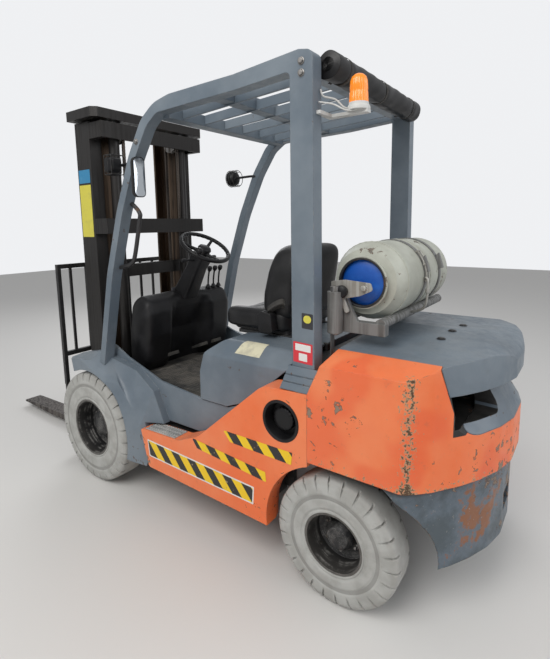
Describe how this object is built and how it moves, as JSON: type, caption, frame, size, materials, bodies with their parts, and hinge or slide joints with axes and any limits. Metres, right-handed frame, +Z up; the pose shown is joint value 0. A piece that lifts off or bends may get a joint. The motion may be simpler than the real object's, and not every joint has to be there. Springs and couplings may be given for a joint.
{
  "type": "counterbalance_forklift",
  "caption": "Counterbalance forklift on solid tyres with a two-stage lifting mast, forks, load backrest, overhead guard, seat, rear gas tank and steered rear wheels",
  "frame": {"origin": "on the ground under the middle of the overall length and width", "axes": "+X forward to the fork tips, +Y to the operator's left, +Z up"},
  "size_m": [3.65, 1.146, 2.1719],
  "materials": {
    "orange": "faded satin enamel",
    "grey": "worn satin enamel",
    "black_steel": "worn, oily",
    "bare_steel": "greasy rolled steel",
    "chrome_rod": "hard chrome",
    "dark_iron": "rough casting",
    "tyre_grey": "worn solid rubber",
    "rim_black": "scuffed",
    "black_plastic": "grained",
    "mat_rubber": "ribbed",
    "seat_vinyl": "vinyl",
    "roll_vinyl": "rolled vinyl sheet",
    "amber": "clear amber",
    "lamp": "lamp lens and shell",
    "mirror_black": "mirror back",
    "tank_grey": "gas bottle paint",
    "chain_steel": "oily leaf chain"
  },
  "bodies": {
    "chassis": {"main_frame": "black_steel", "drive_axle": "dark_iron", "steer_axle": "dark_iron", "steer_cylinder": "black_steel", "side_panels": "orange", "step_mats": "mat_rubber", "filler_cap": "black_plastic", "fenders": "grey", "floor": "mat_rubber", "dash": "black_plastic", "steering_wheel": "black_plastic", "levers": "black_plastic", "pedals": "mat_rubber", "guard_frame": "grey", "guard_slats": "grey", "roof_roll": "roll_vinyl", "head_lamps": "lamp", "mirror": "mirror_black", "beacon": "amber", "beacon_bracket": "black_steel", "engine": "dark_iron", "radiator": "black_steel", "pillar_feet": "grey", "counterweight": "orange", "counterweight_lid": "grey", "tow_pin": "bare_steel", "outlet_grille": "black_steel", "tank_post": "bare_steel", "hood_hinges": "black_steel"},
    "wheel_front_left": {"tyre_front_left": "tyre_grey", "rim_front_left": "rim_black"},
    "knuckle_left": {"knuckle_left": "dark_iron"},
    "wheel_rear_left": {"tyre_rear_left": "tyre_grey", "rim_rear_left": "rim_black"},
    "wheel_front_right": {"tyre_front_right": "tyre_grey", "rim_front_right": "rim_black"},
    "knuckle_right": {"knuckle_right": "dark_iron"},
    "wheel_rear_right": {"tyre_rear_right": "tyre_grey", "rim_rear_right": "rim_black"},
    "mast_outer": {"mast_outer_rails": "black_steel", "mast_outer_ties": "black_steel", "lift_barrels": "black_steel"},
    "mast_inner": {"mast_inner_rails": "bare_steel", "mast_beam": "black_steel", "lift_rods": "chrome_rod", "chain_sheaves": "bare_steel", "lift_chains": "chain_steel"},
    "carriage": {"carriage": "black_steel", "backrest": "black_steel", "fork_left": "black_steel", "fork_right": "black_steel"},
    "tilt_barrel_left": {"tilt_barrel_left": "black_steel"},
    "tilt_rod_left": {"tilt_rod_left": "chrome_rod"},
    "tilt_barrel_right": {"tilt_barrel_right": "black_steel"},
    "tilt_rod_right": {"tilt_rod_right": "chrome_rod"},
    "hood": {"hood": "grey", "seat": "seat_vinyl", "belt_box": "black_plastic"},
    "tank": {"gas_tank": "tank_grey", "tank_bracket": "black_steel"}
  },
  "joints": [
    {"name": "wheel_front_left_spin", "type": "hinge", "parent": "chassis", "child": "wheel_front_left", "pos_m": [0.315, 0.484, 0.328], "axis": [0, 1, 0], "continuous": true},
    {"name": "steer_left", "type": "hinge", "parent": "chassis", "child": "knuckle_left", "pos_m": [-1.285, 0.365, 0.264], "axis": [0, 0, 1], "range_deg": [-66, 66]},
    {"name": "wheel_rear_left_spin", "type": "hinge", "parent": "knuckle_left", "child": "wheel_rear_left", "pos_m": [-1.285, 0.479, 0.264], "axis": [0, 1, 0], "continuous": true},
    {"name": "wheel_front_right_spin", "type": "hinge", "parent": "chassis", "child": "wheel_front_right", "pos_m": [0.315, -0.484, 0.328], "axis": [0, 1, 0], "continuous": true},
    {"name": "steer_right", "type": "hinge", "parent": "chassis", "child": "knuckle_right", "pos_m": [-1.285, -0.365, 0.264], "axis": [0, 0, 1], "range_deg": [-66, 66]},
    {"name": "wheel_rear_right_spin", "type": "hinge", "parent": "knuckle_right", "child": "wheel_rear_right", "pos_m": [-1.285, -0.479, 0.264], "axis": [0, 1, 0], "continuous": true},
    {"name": "mast_tilt", "type": "hinge", "parent": "chassis", "child": "mast_outer", "pos_m": [0.315, 0, 0.328], "axis": [0, 1, 0], "range_deg": [-11, 6]},
    {"name": "mast_lift", "type": "slide", "parent": "mast_outer", "child": "mast_inner", "axis": [0, 0, 1], "range_m": [0, 1.5]},
    {"name": "carriage_lift", "type": "slide", "parent": "mast_inner", "child": "carriage", "axis": [0, 0, 1], "range_m": [0, 1.5], "deforming": ["lift_chains"]},
    {"name": "tilt_barrel_left_pin", "type": "hinge", "parent": "chassis", "child": "tilt_barrel_left", "pos_m": [-0.16, 0.334, 0.47], "axis": [0, 1, 0], "range_deg": [-3, 2]},
    {"name": "tilt_rod_left_slide", "type": "slide", "parent": "tilt_barrel_left", "child": "tilt_rod_left", "axis": [0.9717, 0, 0.2361], "range_m": [-0.055, 0.03]},
    {"name": "tilt_barrel_right_pin", "type": "hinge", "parent": "chassis", "child": "tilt_barrel_right", "pos_m": [-0.16, -0.334, 0.47], "axis": [0, 1, 0], "range_deg": [-3, 2]},
    {"name": "tilt_rod_right_slide", "type": "slide", "parent": "tilt_barrel_right", "child": "tilt_rod_right", "axis": [0.9717, 0, 0.2361], "range_m": [-0.055, 0.03]},
    {"name": "hood_hinge", "type": "hinge", "parent": "chassis", "child": "hood", "pos_m": [-1.05, 0, 0.95], "axis": [0, -1, 0], "range_deg": [0, 60]},
    {"name": "tank_swing", "type": "hinge", "parent": "chassis", "child": "tank", "pos_m": [-1.228, 0.428, 1.2], "axis": [0, 0, -1], "range_deg": [0, 90]}
  ],
  "couplings": [
    {"joint": "steer_right", "follows": "steer_left", "ratio": 1},
    {"joint": "carriage_lift", "follows": "mast_lift", "ratio": 1},
    {"joint": "tilt_barrel_left_pin", "follows": "mast_tilt", "ratio": 0.2225},
    {"joint": "tilt_rod_left_slide", "follows": "mast_tilt", "m_per_rad": 0.2501},
    {"joint": "tilt_barrel_right_pin", "follows": "mast_tilt", "ratio": 0.2225},
    {"joint": "tilt_rod_right_slide", "follows": "mast_tilt", "m_per_rad": 0.2501},
    {"joint": "tank_swing", "follows": "hood_hinge", "ratio": 1.5}
  ]
}
